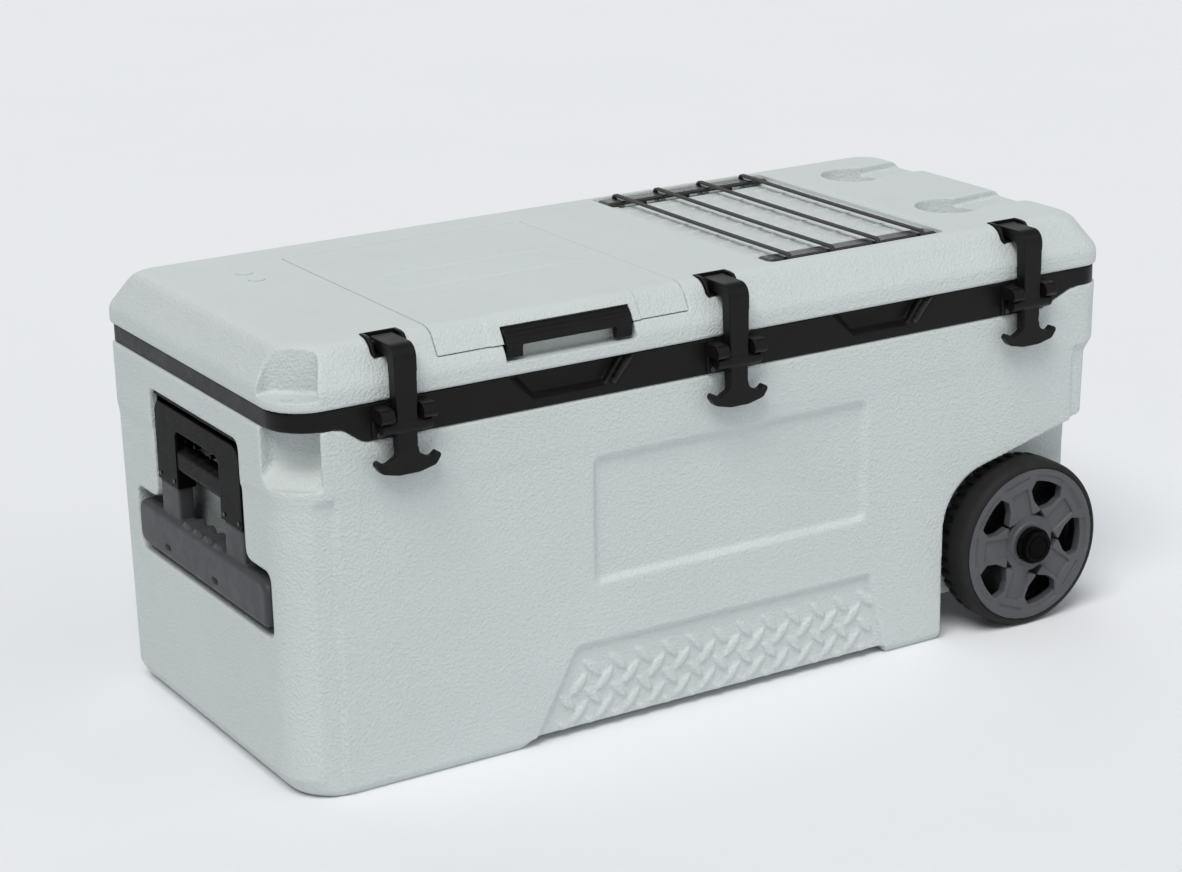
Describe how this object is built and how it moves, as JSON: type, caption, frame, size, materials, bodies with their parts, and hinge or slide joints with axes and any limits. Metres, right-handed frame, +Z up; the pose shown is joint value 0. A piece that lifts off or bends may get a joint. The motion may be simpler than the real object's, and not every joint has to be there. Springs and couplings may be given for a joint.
{
  "type": "wheeled hard cooler",
  "caption": "Long insulated hard cooler with a hinged lid, quick-access hatch, rubber T-latches, swing tow handle, wheels, cup holders and elastic cords on the lid.",
  "frame": {"origin": "on the floor under the middle of the cooler's box", "axes": "+X towards the wheel end, -Y towards the latches at the front, +Z up; the tow handle is at the -X end"},
  "size_m": [1.1, 0.53, 0.5066],
  "materials": {
    "shell_grey": "rotomoulded polyethylene with a fine pebble grain",
    "liner_white": "smooth satin moulding",
    "foam": "closed-cell insulation",
    "black_plastic": "satin black moulding",
    "gloss_black": "semi-gloss black moulding",
    "dark_grey_plastic": "satin dark grey moulding",
    "latch_rubber": "satin black rubber",
    "seal_rubber": "soft black seal",
    "tyre_rubber": "solid black rubber tread",
    "steel": "plated steel",
    "bush_nylon": "natural nylon",
    "cord": "braided black elastic cord"
  },
  "bodies": {
    "tub": {"body_shell": "shell_grey", "body_foam": "foam", "body_liner": "liner_white", "rim_collar": "black_plastic", "latch_keepers": "black_plastic", "keeper_screws": "steel", "handle_bracket": "black_plastic", "handle_pivot_pin": "steel", "bracket_screws": "steel", "axle": "steel", "axle_sleeve": "steel", "axle_spacers": "bush_nylon", "axle_clips": "steel", "hinge_leaves_tub": "black_plastic", "hinge_pins": "steel", "hinge_screws_tub": "steel", "drain_pipe": "black_plastic"},
    "lid": {"lid_shell": "shell_grey", "lid_foam": "foam", "lid_liner": "liner_white", "lid_gasket": "seal_rubber", "fill_plugs": "shell_grey", "latch_anchors": "black_plastic", "hinge_leaves_lid": "black_plastic", "hinge_screws_lid": "steel", "bungee_rail_front": "gloss_black", "bungee_rail_back": "gloss_black", "bungee_cords": "cord", "bungee_crimps": "steel", "hatch_hinge_pin": "steel", "hatch_gasket": "seal_rubber"},
    "hatch": {"hatch_shell": "shell_grey", "hatch_liner": "liner_white", "hatch_foam": "foam", "hatch_latch_pin": "steel"},
    "hatch_latch": {"hatch_latch_bar": "black_plastic"},
    "latch_left": {"latch_strap_left": "latch_rubber", "latch_pin_left": "steel"},
    "latch_centre": {"latch_strap_centre": "latch_rubber", "latch_pin_centre": "steel"},
    "latch_right": {"latch_strap_right": "latch_rubber", "latch_pin_right": "steel"},
    "tow_handle": {"handle_yoke": "black_plastic", "handle_cross_tube": "black_plastic", "handle_grip": "dark_grey_plastic", "handle_screws": "steel"},
    "wheel_front": {"tyre_front": "tyre_rubber", "rim_front": "dark_grey_plastic", "bush_front": "bush_nylon", "hub_cap_front": "black_plastic"},
    "wheel_rear": {"tyre_rear": "tyre_rubber", "rim_rear": "dark_grey_plastic", "bush_rear": "bush_nylon", "hub_cap_rear": "black_plastic"},
    "drain_cap": {"drain_plug": "black_plastic"}
  },
  "joints": [
    {"name": "lid_hinge", "type": "hinge", "parent": "tub", "child": "lid", "pos_m": [0, 0.244, 0.438], "axis": [-1, 0, 0], "range_deg": [0, 95]},
    {"name": "hatch_hinge", "type": "hinge", "parent": "lid", "child": "hatch", "pos_m": [-0.205, 0.147, 0.497], "axis": [-1, 0, 0], "range_deg": [0, 100]},
    {"name": "hatch_latch_pivot", "type": "hinge", "parent": "hatch", "child": "hatch_latch", "pos_m": [-0.202, -0.2186, 0.483], "axis": [-1, 0, 0], "range_deg": [0, 40]},
    {"name": "latch_left_pivot", "type": "hinge", "parent": "lid", "child": "latch_left", "pos_m": [-0.414, -0.204, 0.493], "axis": [-1, 0, 0], "range_deg": [0, 110], "deforming": ["latch_strap_left"]},
    {"name": "latch_centre_pivot", "type": "hinge", "parent": "lid", "child": "latch_centre", "pos_m": [0.002, -0.204, 0.493], "axis": [-1, 0, 0], "range_deg": [0, 110], "deforming": ["latch_strap_centre"]},
    {"name": "latch_right_pivot", "type": "hinge", "parent": "lid", "child": "latch_right", "pos_m": [0.421, -0.204, 0.493], "axis": [-1, 0, 0], "range_deg": [0, 110], "deforming": ["latch_strap_right"]},
    {"name": "tow_handle_pivot", "type": "hinge", "parent": "tub", "child": "tow_handle", "pos_m": [-0.536, 0, 0.36], "axis": [0, 1, 0], "range_deg": [0, 110]},
    {"name": "wheel_front_spin", "type": "hinge", "parent": "tub", "child": "wheel_front", "pos_m": [0.431, -0.2235, 0.105], "axis": [0, 1, 0], "continuous": true},
    {"name": "wheel_rear_spin", "type": "hinge", "parent": "tub", "child": "wheel_rear", "pos_m": [0.431, 0.2235, 0.105], "axis": [0, 1, 0], "continuous": true},
    {"name": "drain_plug_slide", "type": "slide", "parent": "tub", "child": "drain_cap", "axis": [1, 0, 0], "range_m": [0, 0.028]}
  ]
}
